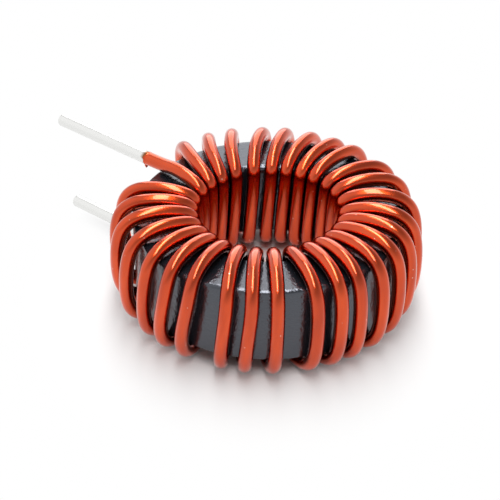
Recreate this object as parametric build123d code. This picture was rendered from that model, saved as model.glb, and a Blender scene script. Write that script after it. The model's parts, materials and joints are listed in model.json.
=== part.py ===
from build123d import *
import math
import os

# A toroidal inductor: a coated powder ring wound with one layer of enamelled copper wire.
# Both leads leave along -X, one above the other. The ring's axis is Z. The model is drawn
# about the ring's middle, then lifted so that the winding stands on z = 0.
# All sizes are in millimetres and all angles in degrees about Z.

# Ring core, bare
CORE_OUTER_D = 35.8
CORE_INNER_D = 22.4
CORE_HEIGHT = 10.5
COAT = 0.25  # epoxy on every face
CORE_EDGE = 0.5  # bevel of the coated ring's four edges

# Wire
COPPER_D = 1.8
ENAMEL = 0.05
TIN = 0.02  # solder on the stripped leads

# How the wire lies on the coated ring, as clearances from its faces
INNER_CLEAR = 0.08  # between the legs in the hole and the ring's inner wall
OUTER_BOW = 1.1  # between the legs outside and the ring's outer wall
FACE_RISE = 0.85  # between the hump of a run and the ring's flat face
INNER_BEND_RISE = 0.3  # the same, at the corners of a run's two bends
OUTER_BEND_RISE = 0.15
OUTER_BEND_OUT = 0.4  # from the outer bend's corner to the ring's rim
OUTER_LEG_SHORT = 1.9  # from the end of an outer leg's straight stretch to the ring's face

# Where the turns lie. Each list goes round in the order in which the wire was wound.
FIRST_INNER = 192  # the pass that starts the winding, in the hole
INNER_STEPS = [14, 11, 11, 12, 12, 11, 13, 12, 12, 12, 12, 13, 11, 11,
               12, 11, 12, 15, 14, 13, 14, 12, 12, 12, 14, 15, 13, 12]
FIRST_OUTER = 207  # the first leg outside
OUTER_STEPS = [11, 12, 14, 13, 10, 10, 16, 9, 10, 15, 9, 8, 11,
               11, 11, 11, 13, 15, 12, 18, 10, 11, 12, 9, 13, 10, 12]
# For each leg outside: by how many degrees it falls back on its way down, and how many tenths
# of a millimetre further out it stands than the others
OUTER_LEANS = [2, 2, 2, 2, 2, 4, 4, 2, 2, 0, 0, 0, 0, 0, 0, 0, 0, 1, 1, 1, 1, 1, 1, 1, 1, 1, 1, 2]
OUTER_STANDS = [3, 4, 4, 4, 2, 1, 0, 0, 0, 0, 0, 0, 0, 0, -1, -2, -2, -2, -2, -2, 0, 0, 1, 4, 4, 8, 9, 8]
INNER_TWIST = 4  # by which a leg in the hole gets ahead on its way down

# How far each corner of a turn has gone from its inner to its outer angle, from the hole outward
TURNING_SHARES = [0, 0.35, 0.8, 0.9]

# Leads
START_LEAD_REACH = 18.75  # from the ring's rim to the lead's tip
FINISH_LEAD_REACH = 16.65
START_LEAD_Y = -1.6
FINISH_LEAD_Y = -1.9
START_LEAD_RISE = 0.15  # over a wire that lies on the ring's face
FINISH_LEAD_RISE = -0.05
START_BEND_Y = -1.64  # where each lead's wire comes over the ring's rim, just aside of the lead's line
FINISH_BEND_Y = -1.86
START_HUMP_Y = -1.7  # where each lead's wire crosses the middle of the ring's face
FINISH_HUMP_Y = -1.5
LEAD_HUMP_SINK = 0.1  # of that crossing below the hump of a turn
START_ENAMEL_OUT = 1.95  # from the ring's rim to the enamel's stripped edge; the lead is tinned from there
FINISH_ENAMEL_OUT = 2.15
LEAD_BEND_IN = 0.65  # from the ring's rim in to the last bend over its face
LEAD_ROOT = 0.1  # by which the wound wire runs on into each lead
TIP_ROUND = 0.3

ARC_SHARE = 0.45  # share of the shorter run that a bend's arc may take

WIRE_D = COPPER_D + 2 * ENAMEL
RING_OUTER = CORE_OUTER_D / 2 + COAT
RING_INNER = CORE_INNER_D / 2 - COAT
RING_HALF = CORE_HEIGHT / 2 + COAT
START_LEAD_BARE = START_LEAD_REACH - START_ENAMEL_OUT
FINISH_LEAD_BARE = FINISH_LEAD_REACH - FINISH_ENAMEL_OUT
START_TIP = Vector(
    -RING_OUTER - START_LEAD_REACH, START_LEAD_Y, RING_HALF + WIRE_D / 2 + START_LEAD_RISE
)
FINISH_TIP = Vector(
    -RING_OUTER - FINISH_LEAD_REACH, FINISH_LEAD_Y, -RING_HALF - WIRE_D / 2 - FINISH_LEAD_RISE
)


def polar(radius, angle, z):
    """A point from its radius, its angle and its height over the ring's middle."""
    return Vector(radius * math.cos(math.radians(angle)), radius * math.sin(math.radians(angle)), z)


def section():
    """The corners of one turn in the ring's section, as radius and height, from leg to leg over the top."""
    return [
        (RING_INNER - WIRE_D / 2 - INNER_CLEAR, RING_HALF + WIRE_D / 2 + INNER_BEND_RISE),
        ((RING_INNER + RING_OUTER) / 2, RING_HALF + WIRE_D / 2 + FACE_RISE),
        (RING_OUTER + OUTER_BEND_OUT, RING_HALF + WIRE_D / 2 + OUTER_BEND_RISE),
        (RING_OUTER + WIRE_D / 2 + OUTER_BOW, RING_HALF - OUTER_LEG_SHORT),
    ]


def running(first, steps):
    """Angles that add up from the first."""
    angles = [first]
    for step in steps:
        angles.append(angles[-1] + step)
    return angles


def wire_route():
    """The corner points of the wound wire's centreline, from one stripped end to the other."""
    corners = section()
    inner = running(FIRST_INNER, INNER_STEPS)
    outer = running(FIRST_OUTER, OUTER_STEPS)
    hump_r, hump_z = corners[1]
    lead_bend_x = LEAD_BEND_IN - RING_OUTER

    route = [
        START_TIP + Vector(START_LEAD_BARE, 0, 0),
        Vector(lead_bend_x, START_BEND_Y, START_TIP.Z),
        Vector(-hump_r, START_HUMP_Y, hump_z - LEAD_HUMP_SINK),
    ]
    for turn in range(len(inner)):
        # down through the hole
        top, low = inner[turn], inner[turn] + INNER_TWIST
        leg_r, leg_z = corners[0]
        route.append(polar(leg_r, top, leg_z))
        route.append(polar(leg_r, low, -leg_z))
        if turn == len(outer):
            break
        # out under the ring, up its outside and back over it
        leg_low, leg_top = outer[turn] - OUTER_LEANS[turn] / 2, outer[turn] + OUTER_LEANS[turn] / 2
        stand = OUTER_STANDS[turn] / 10
        for (radius, z), share in list(zip(corners, TURNING_SHARES))[1:]:
            route.append(polar(radius + stand * share, low + (leg_low - low) * share, -z))
        following = inner[turn + 1]
        for (radius, z), share in reversed(list(zip(corners, TURNING_SHARES))[1:]):
            route.append(polar(radius + stand * share, following + (leg_top - following) * share, z))

    route += [
        Vector(-hump_r, FINISH_HUMP_Y, LEAD_HUMP_SINK - hump_z),
        Vector(lead_bend_x, FINISH_BEND_Y, FINISH_TIP.Z),
        FINISH_TIP + Vector(FINISH_LEAD_BARE, 0, 0),
    ]
    return route


def bend_radii(route):
    """The largest even bend at each corner that its two runs leave room for."""
    radii = []
    for before, corner, after in zip(route, route[1:], route[2:]):
        turn = math.radians((corner - before).get_angle(after - corner))
        radii.append(ARC_SHARE * min((corner - before).length, (after - corner).length) / math.tan(turn / 2))
    return radii


def sweep_along(route, radii, outer_d, inner_d=0):
    """A round rod, or a tube, along the route with an arc at each corner."""
    path = FilletPolyline(*route, radius=radii)
    start = Plane(origin=path @ 0, z_dir=path % 0)
    face = start * Circle(outer_d / 2)
    if inner_d:
        face -= start * Circle(inner_d / 2)
    rod = sweep(face, path=path)
    expected = math.pi * (outer_d**2 - inner_d**2) / 4 * path.length
    print(f"  length {path.length:.1f}, volume {rod.volume / expected:.5f} of section x length")
    return rod


def ring(outer_d, inner_d, height, edge):
    """A ring about Z with bevelled edges, centred on the ring's middle."""
    body = Cylinder(outer_d / 2, height) - Cylinder(inner_d / 2, height)
    return chamfer(body.edges().filter_by(GeomType.CIRCLE), edge)


def powder_core():
    return ring(CORE_OUTER_D, CORE_INNER_D, CORE_HEIGHT, CORE_EDGE)


def core_coating(core):
    outside = ring(2 * RING_OUTER, 2 * RING_INNER, 2 * RING_HALF, CORE_EDGE)
    return outside - core


def copper_wire(route, radii):
    start = route[0] + (route[0] - route[1]).normalized() * LEAD_ROOT
    finish = route[-1] + (route[-1] - route[-2]).normalized() * LEAD_ROOT
    wire = sweep_along([start, *route[1:-1], finish], radii, COPPER_D)
    for tip, bare in ((START_TIP, START_LEAD_BARE), (FINISH_TIP, FINISH_LEAD_BARE)):
        lead = extrude(Plane(origin=tip, z_dir=(1, 0, 0)) * Circle(COPPER_D / 2 + TIN), bare)
        rim = lead.edges().filter_by(GeomType.CIRCLE).sort_by(Axis.X)[0]
        wire += fillet(rim, TIP_ROUND)
    return wire


def wire_enamel(route, radii):
    return sweep_along(route, radii, WIRE_D, COPPER_D)


def main():
    os.makedirs("parts", exist_ok=True)
    route = wire_route()
    radii = bend_radii(route)
    print(f"bend radii {min(radii):.2f} to {max(radii):.2f}")
    core = powder_core()
    parts = {
        "powder_core": core,
        "core_coating": core_coating(core),
        "copper_wire": copper_wire(route, radii),
        "wire_enamel": wire_enamel(route, radii),
    }
    # the humps under the ring are what the inductor stands on
    rest = -parts["wire_enamel"].bounding_box().min.Z
    print(f"ring's middle stands at {rest:.3f}")
    for name, shape in parts.items():
        export_step(Pos(0, 0, rest) * shape, f"parts/{name}.step")


main()
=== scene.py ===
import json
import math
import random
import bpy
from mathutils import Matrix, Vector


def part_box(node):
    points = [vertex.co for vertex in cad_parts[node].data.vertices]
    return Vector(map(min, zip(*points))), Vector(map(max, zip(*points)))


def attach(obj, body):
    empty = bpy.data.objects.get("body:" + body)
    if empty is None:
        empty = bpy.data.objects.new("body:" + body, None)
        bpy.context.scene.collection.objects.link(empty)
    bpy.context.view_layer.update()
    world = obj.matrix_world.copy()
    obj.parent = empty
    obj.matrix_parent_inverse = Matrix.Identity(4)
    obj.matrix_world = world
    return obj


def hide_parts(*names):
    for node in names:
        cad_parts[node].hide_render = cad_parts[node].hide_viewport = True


bl_info = {
    "name": "Toroidal Inductor",
    "version": (1, 0, 0),
    "blender": (4, 5, 0),
    "location": "View3D > Sidebar > Inductor",
    "description": "Dresses a toroidal inductor: coated ring, enamelled winding and tinned leads",
    "category": "Object",
}

import bmesh
import bpy
import numpy as np
from bpy.props import FloatProperty, FloatVectorProperty, IntProperty, PointerProperty
from mathutils import Matrix, Vector, noise

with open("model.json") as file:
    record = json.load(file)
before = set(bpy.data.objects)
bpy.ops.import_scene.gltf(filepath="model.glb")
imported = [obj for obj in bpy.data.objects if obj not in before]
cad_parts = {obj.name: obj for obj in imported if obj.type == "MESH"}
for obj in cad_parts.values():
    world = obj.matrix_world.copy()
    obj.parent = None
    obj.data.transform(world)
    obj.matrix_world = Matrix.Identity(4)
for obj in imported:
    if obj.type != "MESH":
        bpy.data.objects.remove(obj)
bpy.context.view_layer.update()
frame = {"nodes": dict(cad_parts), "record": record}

MM = 0.001
RING_LOW, RING_HIGH = (Vector(corner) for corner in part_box("core_coating"))
RING_MIDDLE = (RING_LOW.z + RING_HIGH.z) / 2
RING_HALF = (RING_HIGH.z - RING_LOW.z) / 2
RING_OUTER = (RING_HIGH.x - RING_LOW.x) / 2
LEADS = {m["name"]: m for m in frame["record"]["mounts"] if m["kind"] == "pin"}

# Where the turns lie, in degrees about Z, in the order in which the wire was wound
FIRST_INNER = 192
INNER_STEPS = [14, 11, 11, 12, 12, 11, 13, 12, 12, 12, 12, 13, 11, 11,
               12, 11, 12, 15, 14, 13, 14, 12, 12, 12, 14, 15, 13, 12]
FIRST_OUTER = 207
OUTER_STEPS = [11, 12, 14, 13, 10, 10, 16, 9, 10, 15, 9, 8, 11,
               11, 11, 11, 13, 15, 12, 18, 10, 11, 12, 9, 13, 10, 12]
# For each leg outside: by how many degrees it falls back on its way down, and how many tenths
# of a millimetre further out it stands than the others
OUTER_LEANS = [2, 2, 2, 2, 2, 4, 4, 2, 2, 0, 0, 0, 0, 0, 0, 0, 0, 1, 1, 1, 1, 1, 1, 1, 1, 1, 1, 2]
OUTER_STANDS = [3, 4, 4, 4, 2, 1, 0, 0, 0, 0, 0, 0, 0, 0, -1, -2, -2, -2, -2, -2, 0, 0, 1, 4, 4, 8, 9, 8]

# Where the control points of the wire's centreline lie beside the ring
INNER_LEG_SHORT = 1.2 * MM  # from a leg's last point in the hole to the ring's face
INNER_BEND_OUT = 0.43 * MM  # from that leg out to the corner of its bend
INNER_BEND_SINK = 0.12 * MM  # from a wire that lies on the face down to that corner
OUTER_BEND_OUT = 0.4 * MM  # from the rim out to the corner of the outer bend
OUTER_BEND_RISE = 0.15 * MM  # from a wire that lies on the face up to that corner
OUTER_LEG_SHORT = 1.9 * MM  # from an outer leg's last point to the ring's face
# How much of the way from the inner to the outer angle a run has gone at each of its points
HUMP_SHARE = 0.4
OUTER_BEND_SHARE = 0.8
OUTER_LEG_SHARE = 0.92
LEAD_MIDDLE_X = -26 * MM  # a point that keeps each lead straight
LEAD_BEND_IN = 0.65 * MM  # from the rim in to each lead's bend
START_HUMP_ASIDE = 0.1 * MM  # from the start lead's line across to the hump of its run
FINISH_HUMP_ASIDE = 0.4 * MM  # the same for the finish lead, to its other side
LEAD_HUMP_LOWER = 0.1 * MM  # by which those two humps are flatter than the others

# The enamel's stripped edges
ENAMEL_SIDES = 26
ENAMEL_RING_GAP = 0.4 * MM
EDGE_WAVES = ((0.09, 2, 0.4), (0.06, 5, 2.1), (0.04, 9, 1.0))  # depth in mm, waves in a turn, phase
EDGE_SCATTER = 0.05  # mm, on top of the waves
EDGE_FLARE = 1.02  # size of the lip at the edge, as a share of the tube's
EDGE_LIP = 0.02 * MM  # how far the lip stands out along the wire
EDGE_TUCK = 0.99  # radius at which the film ends, as a share of the copper's

# The conductor and its tinned leads
COPPER_SIDES = 20
COPPER_RING_GAP = 0.5 * MM
LEAST_RING_GAP = 0.01 * MM  # rings that lie closer than this are left out
TIP_ROUND = 0.32 * MM  # radius of the rounding at each cut tip
TIP_RINGS = np.array([0.0, 0.03, 0.08, 0.16, 0.25]) * MM  # distances of the extra rings from a tip
TIN_SWELL = 0.012  # how far the tin swells and thins, as a share of the radius
TIN_SWELL_LENGTH = 2.2 * MM
TIN_STOP = 0.02 * MM  # how far before the enamel the start lead's tin stops, at the least
COPPER_BAND = 0.25 * MM  # width of the bare copper beside the enamel, at the middle of its swing
COPPER_BAND_SWING = 0.35 * MM  # by how much that width grows and shrinks round the wire
COPPER_BAND_PHASE = 0.8

# The crumb of enamel under the start lead
CRUMB_OFFSET = Vector((0.12, 0.25, 1.06)) * MM  # from the crumb to the middle of the stripped edge
CRUMB_HALVES = (0.2, 0.22, 0.3)  # half its length, width and height, in mm
CRUMB_BUMPS = 0.4
CRUMB_BUMP_SCALE = 1.7

# The sprayed coat
COAT_STEPS = 620
COAT_SAG = 0.035 * MM  # depth of its lowest spots
COAT_SAG_LENGTH = 1.1 * MM

# The camera is 217 mm away. It looks down by 35.6 degrees, turned by 39 degrees from the front.
CAMERA_PLACE = (109.5 * MM, -139.1 * MM, RING_MIDDLE + 126.0 * MM)
CAMERA_AIM = Vector((-0.5115, 0.6316, -0.5827))
CAMERA_LENS = 115.2
VIEW_OVER_TABLE = Vector((-0.63, 0.777, 0))  # the view's direction, level with the table

# The colour sockets of a Mix node. Their names are shared, so they go by number.
MIX_FIRST = 6
MIX_SECOND = 7
MIX_RESULT = 2


def linear(hex_colour):
    """An sRGB hex colour as linear RGBA."""
    channels = [int(hex_colour[i:i + 2], 16) / 255 for i in (1, 3, 5)]
    return [c / 12.92 if c <= 0.04045 else ((c + 0.055) / 1.055) ** 2.4 for c in channels] + [1.0]


def length_prop(name, description, millimetres):
    return FloatProperty(name=name, description=description, default=millimetres * MM,
                         min=0, subtype="DISTANCE", unit="LENGTH", precision=5)


def colour_prop(name, description, hex_colour):
    return FloatVectorProperty(name=name, description=description, default=linear(hex_colour),
                               size=4, min=0, max=1, subtype="COLOR")


class InductorSizes(bpy.types.PropertyGroup):
    hole_radius: length_prop("Hole radius", "Radius of the coated ring's hole", 10.95)
    edge: length_prop("Rim edge", "Radius of the ring's two outer edges", 0.5)
    hole_edge: length_prop("Hole edge", "Radius of the ring's two edges at the hole", 0.8)
    wire_radius: length_prop("Wire radius", "Radius over the enamel", 0.95)
    copper_radius: length_prop("Conductor radius", "Radius of the bare conductor", 0.9)
    snug: length_prop("Snug", "Gap between a leg in the hole and the ring's wall", 0.08)
    bow: length_prop("Bow", "Gap between a leg outside and the ring's wall", 1.1)
    rise: length_prop("Rise", "Gap between the hump of a run and the ring's face", 0.75)
    twist: IntProperty(name="Twist", description="Degrees by which a leg in the hole gets ahead going down",
                       default=4, min=0, max=10)


class InductorColours(bpy.types.PropertyGroup):
    enamel: colour_prop("Enamel", "Orange-red enamel seen over its copper", "#DC4E18")
    enamel_deep: colour_prop("Thick enamel", "Where the enamel ran a little thicker", "#B83A12")
    dust: colour_prop("Dust", "Dust and nicks on the enamel", "#F2D9CC")
    # painted shade: the dark brown put into the enamel's colour where two turns close up
    painted_gap_shade: colour_prop("Gap shade", "Where wax and dust gather between two turns", "#4A1206")
    tin: colour_prop("Tin", "Bright solder tin", "#EAEAE8")
    copper: colour_prop("Copper", "Bare copper at the stripped edge", "#8E5A34")
    epoxy: colour_prop("Epoxy", "Black sprayed epoxy", "#20242A")
    epoxy_sheen: colour_prop("Epoxy sheen", "Tint of the epoxy's highlights", "#EEF2FF")
    core_dust: colour_prop("Core dust", "Dust on the epoxy", "#8A8A8E")
    powder: colour_prop("Powder", "Pressed alloy powder", "#5A5A5C")
    floor: colour_prop("Floor", "Pale studio table", "#F4F4F4")


class InductorStage(bpy.types.PropertyGroup):
    softbox: FloatProperty(name="Softbox", description="Power of the box overhead",
                           default=0.7, min=0, unit="POWER")
    rim: FloatProperty(name="Rim", description="Power of the box behind",
                       default=0.25, min=0, unit="POWER")
    sky: FloatProperty(name="Room", description="Brightness of the room all round", default=0.45, min=0)


def add_node(tree, kind, settings=None, links=None):
    """Adds a node, sets its properties and sockets, and links its inputs."""
    node = tree.nodes.new(kind)
    for key, value in (settings or {}).items():
        if isinstance(key, str) and hasattr(node, key):
            setattr(node, key, value)
        else:
            node.inputs[key].default_value = value
    for key, source in (links or {}).items():
        tree.links.new(source, node.inputs[key])
    return node


def mix_colours(tree, share, first, second):
    """A mix of two colours, each of them plain or a socket. A share of 1 gives the second."""
    node = add_node(tree, "ShaderNodeMix", {"data_type": "RGBA"}, {"Factor": share})
    for number, colour in ((MIX_FIRST, first), (MIX_SECOND, second)):
        if isinstance(colour, bpy.types.NodeSocket):
            tree.links.new(colour, node.inputs[number])
        else:
            node.inputs[number].default_value = colour
    return node.outputs[MIX_RESULT]


def new_material(name):
    material = bpy.data.materials.new(name)
    material.use_nodes = True
    tree = material.node_tree
    tree.nodes.clear()
    return material, tree


def enamelled_copper(colours):
    """Polyester enamel, dipped and baked in many thin coats over drawn copper wire. The eye gets the
    copper's metal glow through an orange film, and a hard clear highlight on top of it."""
    material, tree = new_material("enamelled_copper")
    place = add_node(tree, "ShaderNodeTexCoord")
    along = add_node(tree, "ShaderNodeMapping", {"Scale": (1 / (9 * MM), 1 / (2 * MM), 1)},
                     {"Vector": place.outputs["UV"]})
    runs = add_node(tree, "ShaderNodeTexNoise", {"Scale": 1.0, "Detail": 3.0},
                    {"Vector": along.outputs["Vector"]})
    film = add_node(tree, "ShaderNodeMapRange", {"From Min": 0.35, "From Max": 0.75},
                    {"Value": runs.outputs["Fac"]})
    colour = mix_colours(tree, film.outputs["Result"], colours.enamel, colours.enamel_deep)
    # dust and nicks, about 0.12 mm across and far apart
    dust = add_node(tree, "ShaderNodeTexVoronoi", {"Scale": 1 / (1.6 * MM)},
                    {"Vector": place.outputs["Object"]})
    speck = add_node(tree, "ShaderNodeMapRange", {"From Min": 0.06, "From Max": 0.035, "To Max": 0.7},
                     {"Value": dust.outputs["Distance"]})
    dusty = mix_colours(tree, speck.outputs["Result"], colour, colours.dust)
    # painted shade: ambient occlusion darkens the enamel's colour to a deep brown where two turns close up
    gap = add_node(tree, "ShaderNodeAmbientOcclusion", {"samples": 6, "Distance": 1.3 * MM})
    open_share = add_node(tree, "ShaderNodeMapRange", {"From Min": 0.25, "From Max": 0.7},
                          {"Value": gap.outputs["AO"]})
    shaded = mix_colours(tree, open_share.outputs["Result"], colours.painted_gap_shade, dusty)
    # the film's slight ripple, drawn out along the wire
    ripple = add_node(tree, "ShaderNodeTexNoise", {"Scale": 3.0, "Detail": 4.0},
                      {"Vector": along.outputs["Vector"]})
    bump = add_node(tree, "ShaderNodeBump", {"Strength": 0.6, "Distance": 0.035 * MM},
                    {"Height": ripple.outputs["Fac"]})
    shader = add_node(tree, "ShaderNodeBsdfPrincipled",
                      {"Metallic": 1.0, "Roughness": 0.22, "Coat Weight": 0.7, "Coat Roughness": 0.04},
                      {"Base Color": shaded, "Normal": bump.outputs["Normal"],
                       "Coat Normal": bump.outputs["Normal"]})
    add_node(tree, "ShaderNodeOutputMaterial", links={"Surface": shader.outputs["BSDF"]})
    return material


def solder_tin(colours):
    """Tin, left by a dip in a solder pot. It is bright and a little uneven, with copper at its edge."""
    material, tree = new_material("solder_tin")
    place = add_node(tree, "ShaderNodeTexCoord")
    swell = add_node(tree, "ShaderNodeTexNoise", {"Scale": 1 / (1.8 * MM), "Detail": 3.0},
                     {"Vector": place.outputs["Object"]})
    bare = add_node(tree, "ShaderNodeAttribute", {"attribute_name": "bare"})
    colour = mix_colours(tree, bare.outputs["Fac"], colours.tin, colours.copper)
    dull = add_node(tree, "ShaderNodeMapRange", {"To Min": 0.2, "To Max": 0.36},
                    {"Value": swell.outputs["Fac"]})
    bump = add_node(tree, "ShaderNodeBump", {"Strength": 0.3, "Distance": 0.04 * MM},
                    {"Height": swell.outputs["Fac"]})
    shader = add_node(tree, "ShaderNodeBsdfPrincipled", {"Metallic": 1.0},
                      {"Roughness": dull.outputs["Result"], "Normal": bump.outputs["Normal"]})
    tree.links.new(colour, shader.inputs["Base Color"])
    add_node(tree, "ShaderNodeOutputMaterial", links={"Surface": shader.outputs["BSDF"]})
    return material


def sprayed_epoxy(colours):
    """Black epoxy, sprayed on as powder and baked. It flows into a glossy skin with orange peel."""
    material, tree = new_material("sprayed_epoxy")
    place = add_node(tree, "ShaderNodeTexCoord")
    peel = add_node(tree, "ShaderNodeTexNoise", {"Scale": 1 / (0.55 * MM), "Detail": 2.0, "Roughness": 0.6},
                    {"Vector": place.outputs["Object"]})
    grit = add_node(tree, "ShaderNodeTexNoise", {"Scale": 1 / (0.16 * MM), "Detail": 1.0},
                    {"Vector": place.outputs["Object"]})
    coarse = add_node(tree, "ShaderNodeBump", {"Strength": 1.0, "Distance": 0.05 * MM},
                      {"Height": peel.outputs["Fac"]})
    fine = add_node(tree, "ShaderNodeBump", {"Strength": 0.35, "Distance": 0.015 * MM},
                    {"Height": grit.outputs["Fac"], "Normal": coarse.outputs["Normal"]})
    dust = add_node(tree, "ShaderNodeTexVoronoi", {"Scale": 1 / (1.3 * MM)},
                    {"Vector": place.outputs["Object"]})
    speck = add_node(tree, "ShaderNodeMapRange", {"From Min": 0.06, "From Max": 0.03, "To Max": 0.5},
                     {"Value": dust.outputs["Distance"]})
    colour = mix_colours(tree, speck.outputs["Result"], colours.epoxy, colours.core_dust)
    shader = add_node(tree, "ShaderNodeBsdfPrincipled",
                      {"Roughness": 0.15, "IOR": 1.85, "Specular Tint": colours.epoxy_sheen},
                      {"Normal": fine.outputs["Normal"]})
    tree.links.new(colour, shader.inputs["Base Color"])
    add_node(tree, "ShaderNodeOutputMaterial", links={"Surface": shader.outputs["BSDF"]})
    return material


def pressed_powder(colours):
    """Alloy powder, pressed and annealed. It is matt and grey, with grains of about 0.1 mm."""
    material, tree = new_material("pressed_powder")
    place = add_node(tree, "ShaderNodeTexCoord")
    grains = add_node(tree, "ShaderNodeTexVoronoi", {"Scale": 1 / (0.1 * MM)},
                      {"Vector": place.outputs["Object"]})
    bump = add_node(tree, "ShaderNodeBump", {"Strength": 0.5, "Distance": 0.02 * MM},
                    {"Height": grains.outputs["Distance"]})
    shader = add_node(tree, "ShaderNodeBsdfPrincipled",
                      {"Base Color": colours.powder, "Metallic": 0.8, "Roughness": 0.6},
                      {"Normal": bump.outputs["Normal"]})
    add_node(tree, "ShaderNodeOutputMaterial", links={"Surface": shader.outputs["BSDF"]})
    return material


def polar(radius, angle, height):
    """A point from its radius, its angle in degrees and its height over the ring's middle."""
    turn = math.radians(angle)
    return Vector((radius * math.cos(turn), radius * math.sin(turn), RING_MIDDLE + height))


def running(first, steps):
    """Angles that add up from the first."""
    angles = [first]
    for step in steps:
        angles.append(angles[-1] + step)
    return angles


def hole_leg(sizes):
    """A bend's corner and the last point of its leg in the hole, as radius and height."""
    leg = sizes.hole_radius - sizes.wire_radius - sizes.snug
    lift = RING_HALF + sizes.wire_radius
    return [(leg + INNER_BEND_OUT, lift - INNER_BEND_SINK), (leg, RING_HALF - INNER_LEG_SHORT)]


def outer_run(sizes):
    """A run's hump, its outer corner and the last point of the leg outside, as radius, height and
    share of the way from the inner to the outer angle."""
    lift = RING_HALF + sizes.wire_radius
    return [
        ((sizes.hole_radius + RING_OUTER) / 2, lift + sizes.rise, HUMP_SHARE),
        (RING_OUTER + OUTER_BEND_OUT, lift + OUTER_BEND_RISE, OUTER_BEND_SHARE),
        (RING_OUTER + sizes.wire_radius + sizes.bow, RING_HALF - OUTER_LEG_SHORT, OUTER_LEG_SHARE),
    ]


def wire_route(sizes):
    """The control points of the wire's centreline, from one lead's tip to the other's."""
    leg, run = hole_leg(sizes), outer_run(sizes)
    inner = running(FIRST_INNER, INNER_STEPS)
    outer = running(FIRST_OUTER, OUTER_STEPS)
    start, finish = (Vector(LEADS[name]["pos_m"]) for name in ("start_lead", "finish_lead"))
    bend_x = -(RING_OUTER - LEAD_BEND_IN)
    hump_r, hump_z, _ = run[0]
    hump_z -= LEAD_HUMP_LOWER

    route = [start, Vector((LEAD_MIDDLE_X, start.y, start.z)), Vector((bend_x, start.y, start.z)),
             Vector((-hump_r, start.y - START_HUMP_ASIDE, RING_MIDDLE + hump_z))]
    for turn, top in enumerate(inner):
        low = top + sizes.twist
        for radius, z in leg:
            route.append(polar(radius, top, z))
        for radius, z in reversed(leg):
            route.append(polar(radius, low, -z))
        if turn == len(outer):
            break
        leg_low, leg_top = outer[turn] - OUTER_LEANS[turn] / 2, outer[turn] + OUTER_LEANS[turn] / 2
        stand = OUTER_STANDS[turn] * 0.1 * MM
        for radius, z, share in run:
            route.append(polar(radius + stand * share, low + (leg_low - low) * share, -z))
        following = inner[turn + 1]
        for radius, z, share in reversed(run):
            route.append(polar(radius + stand * share, following + (leg_top - following) * share, z))
    route += [Vector((-hump_r, finish.y + FINISH_HUMP_ASIDE, RING_MIDDLE - hump_z)),
              Vector((bend_x, finish.y, finish.z)), Vector((LEAD_MIDDLE_X, finish.y, finish.z)), finish]
    return route


def smooth_line(points):
    """The points of a NURBS spline that takes the route as its control points."""
    curve = bpy.data.curves.new("route", "CURVE")
    curve.dimensions = "3D"
    spline = curve.splines.new("NURBS")
    spline.points.add(len(points) - 1)
    for point, place in zip(spline.points, points):
        point.co = (*place, 1)
    spline.order_u = 3
    spline.use_endpoint_u = True
    spline.resolution_u = 16
    holder = bpy.data.objects.new("route", curve)
    mesh = bpy.data.meshes.new_from_object(holder)
    line = np.array([vertex.co[:] for vertex in mesh.vertices])
    bpy.data.objects.remove(holder)
    bpy.data.curves.remove(curve)
    bpy.data.meshes.remove(mesh)
    return line


def travelled(line):
    """How far along the line each of its points lies."""
    return np.concatenate([[0], np.cumsum(np.linalg.norm(np.diff(line, axis=0), axis=1))])


def points_at(line, marks):
    """The line's points at the given distances along it."""
    return np.stack([np.interp(marks, travelled(line), line[:, k]) for k in range(3)], axis=1)


def even_marks(start, end, spacing):
    """Evenly spaced distances from start to end."""
    return np.linspace(start, end, max(2, round((end - start) / spacing) + 1))


def stripped(name):
    """How far the lead of that name is stripped, from its tip."""
    return LEADS[name]["dims"]["length_mm"] * MM


def rings_along(line, radii, sides):
    """Rings of points square to a line, that don't twist about it."""
    ahead = np.gradient(line, axis=0)
    ahead /= np.linalg.norm(ahead, axis=1)[:, None]
    side = Vector(ahead[0]).orthogonal().normalized()
    turns = np.linspace(0, 2 * np.pi, sides, endpoint=False)
    rings = []
    for centre, direction, radius in zip(line, ahead, radii):
        direction = Vector(direction)
        side = (side - direction * side.dot(direction)).normalized()
        up = direction.cross(side)
        across, over = np.array(side), np.array(up)
        spokes = np.outer(np.cos(turns), across) + np.outer(np.sin(turns), over)
        rings.append(centre + np.asarray(radius).reshape(-1, 1) * spokes)
    return np.array(rings)


def mesh_from_rings(name, rings, along, girth, cap=True):
    """A mesh of quads between rings, with its UV in metres along and around."""
    count, sides = rings.shape[:2]
    first = np.arange(count - 1)[:, None] * sides
    near, far = np.arange(sides)[None, :], (np.arange(sides) + 1)[None, :] % sides
    quads = np.stack([first + near, first + far, first + sides + far, first + sides + near], -1)
    faces = quads.reshape(-1, 4).tolist()
    if cap:
        faces += [list(range(sides))[::-1], [(count - 1) * sides + k for k in range(sides)]]
    mesh = bpy.data.meshes.new(name)
    mesh.from_pydata(rings.reshape(-1, 3).tolist(), [], faces)
    mesh.polygons.foreach_set("use_smooth", [True] * len(faces))
    layer = mesh.uv_layers.new(name="wire")
    ring_number = np.repeat(np.arange(count - 1), sides)
    place = np.tile(np.arange(sides), count - 1)
    u = np.stack([along[ring_number], along[ring_number], along[ring_number + 1], along[ring_number + 1]], 1)
    v = np.stack([place, place + 1, place + 1, place], 1) * girth / sides
    uv = np.zeros((len(mesh.loops), 2))
    uv[:u.size] = np.stack([u.ravel(), v.ravel()], 1)
    layer.data.foreach_set("uv", uv.ravel())
    mesh.update()
    return mesh


def place_piece(name, mesh, material, slot, *replaced):
    """Puts a mesh in the scene as a piece of the object, on the only body there is."""
    piece = bpy.data.objects.new(name, mesh)
    bpy.context.collection.objects.link(piece)
    mesh.materials.append(material)
    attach(piece, "root")
    if replaced:
        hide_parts(*replaced)
    return piece


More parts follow.
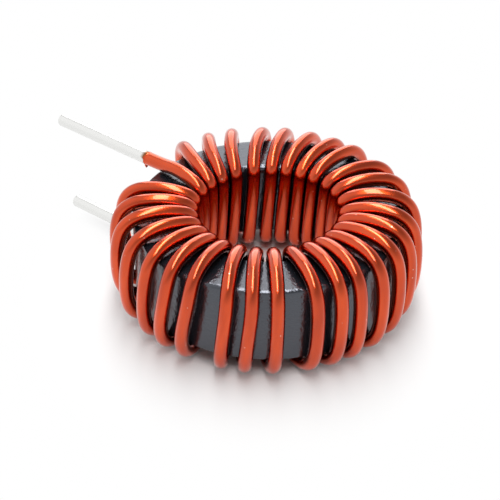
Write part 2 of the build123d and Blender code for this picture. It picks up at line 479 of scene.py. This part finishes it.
class INDUCTOR_OT_enamel(bpy.types.Operator):
    """Winds the enamelled wire round the ring, with its two stripped edges"""
    bl_idname = "inductor.enamel"
    bl_label = "Enamelled winding"

    def execute(self, context):
        sizes = context.scene.inductor_sizes
        line = smooth_line(wire_route(sizes))
        end = travelled(line)[-1] - stripped("finish_lead")
        along = even_marks(stripped("start_lead"), end, ENAMEL_RING_GAP)
        path = points_at(line, along)
        rings = rings_along(path, np.full(len(path), sizes.wire_radius), ENAMEL_SIDES)
        rings = self.ragged_edges(rings, path, sizes)
        marks = np.concatenate([[along[0]] * 2, along, [along[-1]] * 2])
        mesh = mesh_from_rings("winding", rings, marks, 2 * math.pi * sizes.wire_radius, cap=False)
        material = enamelled_copper(context.scene.inductor_colours)
        place_piece("winding", mesh, material, "wire_enamel", "wire_enamel")
        return {"FINISHED"}

    def ragged_edges(self, rings, path, sizes):
        """Turns each end of the tube in to the copper, with an uneven edge where the film was scraped."""
        draw = random.Random(7)
        rings = rings.copy()
        ends = []
        for index, inward in ((0, 1), (-1, -1)):
            ahead = path[1] - path[0] if index == 0 else path[-1] - path[-2]
            ahead = ahead / np.linalg.norm(ahead)
            # soft waves and scatter round the edge, together up to 0.24 mm either way
            waves = []
            for side in range(ENAMEL_SIDES):
                turn = 2 * math.pi * side / ENAMEL_SIDES
                wave = sum(depth * math.sin(count * turn + phase) for depth, count, phase in EDGE_WAVES)
                waves.append(wave + draw.uniform(-EDGE_SCATTER, EDGE_SCATTER))
            rings[index] = rings[index] + np.array(waves)[:, None] * MM * ahead * inward
            centre = path[index]
            spokes = rings[index] - centre
            flare = centre + spokes * EDGE_FLARE - ahead * inward * EDGE_LIP
            inside = centre + spokes * (sizes.copper_radius / sizes.wire_radius) * EDGE_TUCK
            ends.append((flare, inside))
        (start_flare, start_inside), (finish_flare, finish_inside) = ends
        return np.concatenate([[start_inside], [start_flare], rings, [finish_flare], [finish_inside]])


class INDUCTOR_OT_conductor(bpy.types.Operator):
    """Draws the copper conductor from tip to tip, with tin on its stripped ends"""
    bl_idname = "inductor.conductor"
    bl_label = "Conductor and leads"

    def execute(self, context):
        sizes = context.scene.inductor_sizes
        line = smooth_line(wire_route(sizes))
        total = travelled(line)[-1]
        # the cut tips are rounded over, so rings crowd there
        along = even_marks(0, total, COPPER_RING_GAP)
        marks = np.unique(np.concatenate([TIP_RINGS, along, total - TIP_RINGS]))
        marks = marks[np.append(True, np.diff(marks) > LEAST_RING_GAP)]
        rounding = np.clip(1 - np.minimum(marks, total - marks) / TIP_ROUND, 0, 1)
        radii = sizes.copper_radius - TIP_ROUND * (1 - np.sqrt(1 - rounding ** 2))
        radii = radii * (1 + np.array([self.tin_swell(mark, total) for mark in marks]))
        rings = rings_along(points_at(line, marks), radii, COPPER_SIDES)
        mesh = mesh_from_rings("leads", rings, marks, 2 * math.pi * sizes.copper_radius)
        self.mark_bare_copper(mesh, marks, total)
        material = solder_tin(context.scene.inductor_colours)
        place_piece("leads", mesh, material, "tinned_copper", "copper_wire")
        return {"FINISHED"}

    def tin_swell(self, mark, total):
        """By what share the wire is thicker or thinner there. Past the stripped ends it is even."""
        if min(mark, total - mark) >= stripped("start_lead"):
            return 0
        return TIN_SWELL * noise.noise(Vector((mark / TIN_SWELL_LENGTH, 0, 0)))

    def mark_bare_copper(self, mesh, marks, total):
        """Marks the copper under the enamel, and an uneven band of it where the tin stopped short."""
        start, finish = stripped("start_lead"), total - stripped("finish_lead")
        shows = []
        for mark in marks:
            near = min(abs(mark - start), abs(mark - finish))
            inside = start - TIN_STOP < mark < finish
            for side in range(COPPER_SIDES):
                turn = 2 * math.pi * side / COPPER_SIDES
                reach = COPPER_BAND + COPPER_BAND_SWING * math.sin(turn + COPPER_BAND_PHASE)
                shows.append(1.0 if inside or near < reach else 0.0)
        attribute = mesh.attributes.new("bare", "FLOAT", "POINT")
        attribute.data.foreach_set("value", shows)


class INDUCTOR_OT_flake(bpy.types.Operator):
    """Leaves a torn crumb of enamel under the start lead's stripped edge"""
    bl_idname = "inductor.flake"
    bl_label = "Enamel crumb"

    def execute(self, context):
        lead = LEADS["start_lead"]
        edge = Vector(lead["pos_m"]) - Vector(lead["axis"]) * stripped("start_lead")
        under = edge - CRUMB_OFFSET
        crumb = bmesh.new()
        bmesh.ops.create_icosphere(crumb, subdivisions=3, radius=1.0)
        for vertex in crumb.verts:
            swell = 1 + CRUMB_BUMPS * noise.noise(vertex.co * CRUMB_BUMP_SCALE)
            place = vertex.co * swell * MM
            vertex.co = under + Vector([half * part for half, part in zip(CRUMB_HALVES, place)])
        mesh = bpy.data.meshes.new("enamel_flake")
        crumb.to_mesh(mesh)
        crumb.free()
        mesh.polygons.foreach_set("use_smooth", [True] * len(mesh.polygons))
        place_piece("enamel_flake", mesh, bpy.data.materials["enamelled_copper"], "wire_enamel")
        return {"FINISHED"}


class INDUCTOR_OT_coating(bpy.types.Operator):
    """Turns the coated ring, with soft bevels and the unevenness of a sprayed coat"""
    bl_idname = "inductor.coating"
    bl_label = "Coated ring"

    def execute(self, context):
        sizes = context.scene.inductor_sizes
        outline = self.outline(sizes)
        points = []
        for step in range(COAT_STEPS):
            turn = 2 * math.pi * step / COAT_STEPS
            for radius, height, (out, up) in outline:
                place = Vector((radius * math.cos(turn), radius * math.sin(turn), height))
                sag = COAT_SAG * (noise.noise(place / COAT_SAG_LENGTH) - 1) / 2
                radius_now, height_now = radius + out * sag, height + up * sag
                points.append((radius_now * math.cos(turn), radius_now * math.sin(turn),
                               RING_MIDDLE + height_now))
        rows = len(outline)
        faces = []
        for step in range(COAT_STEPS):
            here, there = step * rows, (step + 1) % COAT_STEPS * rows
            for row in range(rows):
                after = (row + 1) % rows
                faces.append((here + row, there + row, there + after, here + after))
        mesh = bpy.data.meshes.new("coated_ring")
        mesh.from_pydata(points, [], faces)
        mesh.polygons.foreach_set("use_smooth", [True] * len(faces))
        material = sprayed_epoxy(context.scene.inductor_colours)
        place_piece("coated_ring", mesh, material, "core_epoxy", "core_coating")
        return {"FINISHED"}

    def outline(self, sizes):
        """The ring's section as radius, height and outward direction, round from the outer wall."""
        steps = 5
        spacing = 0.4 * MM
        corners = [(RING_OUTER, RING_HALF, 0), (sizes.hole_radius, RING_HALF, 90),
                   (sizes.hole_radius, -RING_HALF, 180), (RING_OUTER, -RING_HALF, 270)]
        section = []
        for radius, height, begin in corners:
            bend = sizes.edge if radius == RING_OUTER else sizes.hole_edge
            centre_r = radius - math.copysign(bend, radius - (RING_OUTER + sizes.hole_radius) / 2)
            centre_z = height - math.copysign(bend, height)
            for step in range(steps + 1):
                angle = math.radians(begin + 90 * step / steps)
                out, up = math.cos(angle), math.sin(angle)
                section.append((centre_r + bend * out, centre_z + bend * up, (out, up)))
        filled = []
        for here, there in zip(section, section[1:] + section[:1]):
            gap = math.hypot(there[0] - here[0], there[1] - here[1])
            parts = max(1, round(gap / spacing))
            for k in range(parts):
                mix = k / parts
                radius = here[0] + (there[0] - here[0]) * mix
                height = here[1] + (there[1] - here[1]) * mix
                filled.append((radius, height, here[2]))
        return filled


class INDUCTOR_OT_powder(bpy.types.Operator):
    """Gives the pressed ring under the coat its powder finish"""
    bl_idname = "inductor.powder"
    bl_label = "Pressed powder ring"

    def execute(self, context):
        ring = frame["nodes"]["powder_core"]
        ring.data.materials.clear()
        ring.data.materials.append(pressed_powder(context.scene.inductor_colours))
        return {"FINISHED"}


class INDUCTOR_OT_stage(bpy.types.Operator):
    """Sets the pale table, the studio light and the camera"""
    bl_idname = "inductor.stage"
    bl_label = "Stage, light and camera"

    def execute(self, context):
        scene = context.scene
        stage = scene.inductor_stage
        self.table(scene)
        self.room(scene, stage.sky)
        self.box_light("softbox_above", place=(-0.01, 0.01, 0.27), size=(0.06, 0.42), power=stage.softbox)
        self.box_light("softbox_behind", place=(-0.16, 0.20, 0.14), size=(0.20, 0.20), power=stage.rim)
        self.camera(scene)
        scene.view_settings.view_transform = "Standard"
        return {"FINISHED"}

    def table(self, scene):
        mesh = bpy.data.meshes.new("table")
        half = 3.0
        corners = [(-half, -half, 0), (half, -half, 0), (half, half, 0), (-half, half, 0)]
        mesh.from_pydata(corners, [], [(0, 1, 2, 3)])
        table = bpy.data.objects.new("table", mesh)
        scene.collection.objects.link(table)
        material, tree = new_material("white_table_paper")
        shader = add_node(tree, "ShaderNodeBsdfPrincipled",
                          {"Base Color": scene.inductor_colours.floor, "Roughness": 0.6,
                           "Specular IOR Level": 0.2})
        # to the camera and to shiny things, the table fades to white away from the object
        place = add_node(tree, "ShaderNodeTexCoord")
        away = add_node(tree, "ShaderNodeVectorMath", {"operation": "LENGTH"}, {0: place.outputs["Object"]})
        fade = add_node(tree, "ShaderNodeMapRange", {"From Min": 0.016, "From Max": 0.034},
                        {"Value": away.outputs["Value"]})
        path = add_node(tree, "ShaderNodeLightPath")
        direct = add_node(tree, "ShaderNodeMath", {"operation": "MAXIMUM"},
                          {0: path.outputs["Is Camera Ray"], 1: path.outputs["Is Glossy Ray"]})
        seen = add_node(tree, "ShaderNodeMath", {"operation": "MULTIPLY"},
                        {0: fade.outputs["Result"], 1: direct.outputs["Value"]})
        glow = add_node(tree, "ShaderNodeEmission", {"Color": (1, 1, 1, 1), "Strength": 1.0})
        mixed = add_node(tree, "ShaderNodeMixShader", links={0: seen.outputs["Value"],
                                                             1: shader.outputs["BSDF"],
                                                             2: glow.outputs["Emission"]})
        add_node(tree, "ShaderNodeOutputMaterial", links={"Surface": mixed.outputs["Shader"]})
        mesh.materials.append(material)

    def room(self, scene, brightness):
        world = scene.world or bpy.data.worlds.new("room")
        scene.world = world
        world.use_nodes = True
        tree = world.node_tree
        tree.nodes.clear()
        path = add_node(tree, "ShaderNodeLightPath")
        # what shiny things mirror: a room that is brighter toward the leads and near the horizon,
        # with a dark patch behind the object, about 35 degrees up
        place = add_node(tree, "ShaderNodeTexCoord")
        toward = add_node(tree, "ShaderNodeVectorMath", {"operation": "DOT_PRODUCT", 1: (-0.72, -0.5, 0.48)},
                          {0: place.outputs["Generated"]})
        bright = add_node(tree, "ShaderNodeMapRange",
                          {"From Min": 0.2, "From Max": 0.9, "To Min": 0.36, "To Max": 1.05},
                          {"Value": toward.outputs["Value"]})
        behind = add_node(tree, "ShaderNodeVectorMath", {"operation": "DOT_PRODUCT", 1: (-0.51, 0.63, 0.58)},
                          {0: place.outputs["Generated"]})
        dim = add_node(tree, "ShaderNodeMapRange",
                       {"From Min": 0.86, "From Max": 0.97, "To Min": 1.0, "To Max": 0.45},
                       {"Value": behind.outputs["Value"]})
        height = add_node(tree, "ShaderNodeSeparateXYZ", links={"Vector": place.outputs["Generated"]})
        horizon = add_node(tree, "ShaderNodeMapRange", {"From Max": 0.75, "To Min": 0.98, "To Max": 0.36},
                           {"Value": height.outputs["Z"]})
        brighter = add_node(tree, "ShaderNodeMath", {"operation": "MAXIMUM"},
                            {0: bright.outputs["Result"], 1: horizon.outputs["Result"]})
        mirrored = add_node(tree, "ShaderNodeMath", {"operation": "MULTIPLY"},
                            {0: brighter.outputs["Value"], 1: dim.outputs["Result"]})
        strength = add_node(tree, "ShaderNodeMix", {"A": brightness},
                            {"Factor": path.outputs["Is Glossy Ray"], "B": mirrored.outputs["Value"]})
        plain = add_node(tree, "ShaderNodeBackground", {"Color": (1, 1, 1, 1)},
                         {"Strength": strength.outputs["Result"]})
        white = add_node(tree, "ShaderNodeBackground", {"Color": (1, 1, 1, 1), "Strength": 1.0})
        mixed = add_node(tree, "ShaderNodeMixShader", links={0: path.outputs["Is Camera Ray"],
                                                             1: plain.outputs["Background"],
                                                             2: white.outputs["Background"]})
        add_node(tree, "ShaderNodeOutputWorld", links={"Surface": mixed.outputs["Shader"]})

    def box_light(self, name, place, size, power):
        lamp = bpy.data.lights.new(name, "AREA")
        lamp.shape = "RECTANGLE"
        lamp.size, lamp.size_y = size
        lamp.energy = power
        holder = bpy.data.objects.new(name, lamp)
        # the long side lies in line with the view
        aim = (Vector((0, 0, RING_MIDDLE)) - Vector(place)).normalized()
        across = aim.cross(VIEW_OVER_TABLE).normalized()
        along = across.cross(aim)
        turned = Matrix((across, along, -aim)).transposed().to_4x4()
        holder.matrix_world = Matrix.Translation(place) @ turned
        bpy.context.collection.objects.link(holder)

    def camera(self, scene):
        lens = bpy.data.cameras.new("camera")
        lens.lens = CAMERA_LENS
        lens.clip_start = 0.01
        camera = bpy.data.objects.new("camera", lens)
        right = CAMERA_AIM.cross(Vector((0, 0, 1))).normalized()
        up = right.cross(CAMERA_AIM)
        turned = Matrix((right, up, -CAMERA_AIM)).transposed().to_4x4()
        camera.matrix_world = Matrix.Translation(CAMERA_PLACE) @ turned
        scene.collection.objects.link(camera)
        scene.camera = camera


class INDUCTOR_PT_panel(bpy.types.Panel):
    """Lists the inductor's pieces, sizes and colours"""
    bl_idname = "INDUCTOR_PT_panel"
    bl_label = "Toroidal inductor"
    bl_space_type = "VIEW_3D"
    bl_region_type = "UI"
    bl_category = "Inductor"

    def draw(self, context):
        for operator in OPERATORS:
            self.layout.operator(operator.bl_idname)
        for group in ("inductor_sizes", "inductor_colours", "inductor_stage"):
            settings = getattr(context.scene, group)
            box = self.layout.box()
            for name in settings.bl_rna.properties.keys():
                if name not in {"rna_type", "name"}:
                    box.prop(settings, name)


OPERATORS = (INDUCTOR_OT_stage, INDUCTOR_OT_powder, INDUCTOR_OT_coating, INDUCTOR_OT_conductor,
             INDUCTOR_OT_enamel, INDUCTOR_OT_flake)
CLASSES = (InductorSizes, InductorColours, InductorStage, *OPERATORS, INDUCTOR_PT_panel)


def register():
    for cls in CLASSES:
        bpy.utils.register_class(cls)
    bpy.types.Scene.inductor_sizes = PointerProperty(type=InductorSizes)
    bpy.types.Scene.inductor_colours = PointerProperty(type=InductorColours)
    bpy.types.Scene.inductor_stage = PointerProperty(type=InductorStage)


def unregister():
    del bpy.types.Scene.inductor_stage
    del bpy.types.Scene.inductor_colours
    del bpy.types.Scene.inductor_sizes
    for cls in reversed(CLASSES):
        bpy.utils.unregister_class(cls)


def main():
    register()
    bpy.ops.inductor.stage()
    bpy.ops.inductor.powder()
    bpy.ops.inductor.coating()
    bpy.ops.inductor.conductor()
    bpy.ops.inductor.enamel()
    bpy.ops.inductor.flake()


if __name__ == "__main__":
    main()
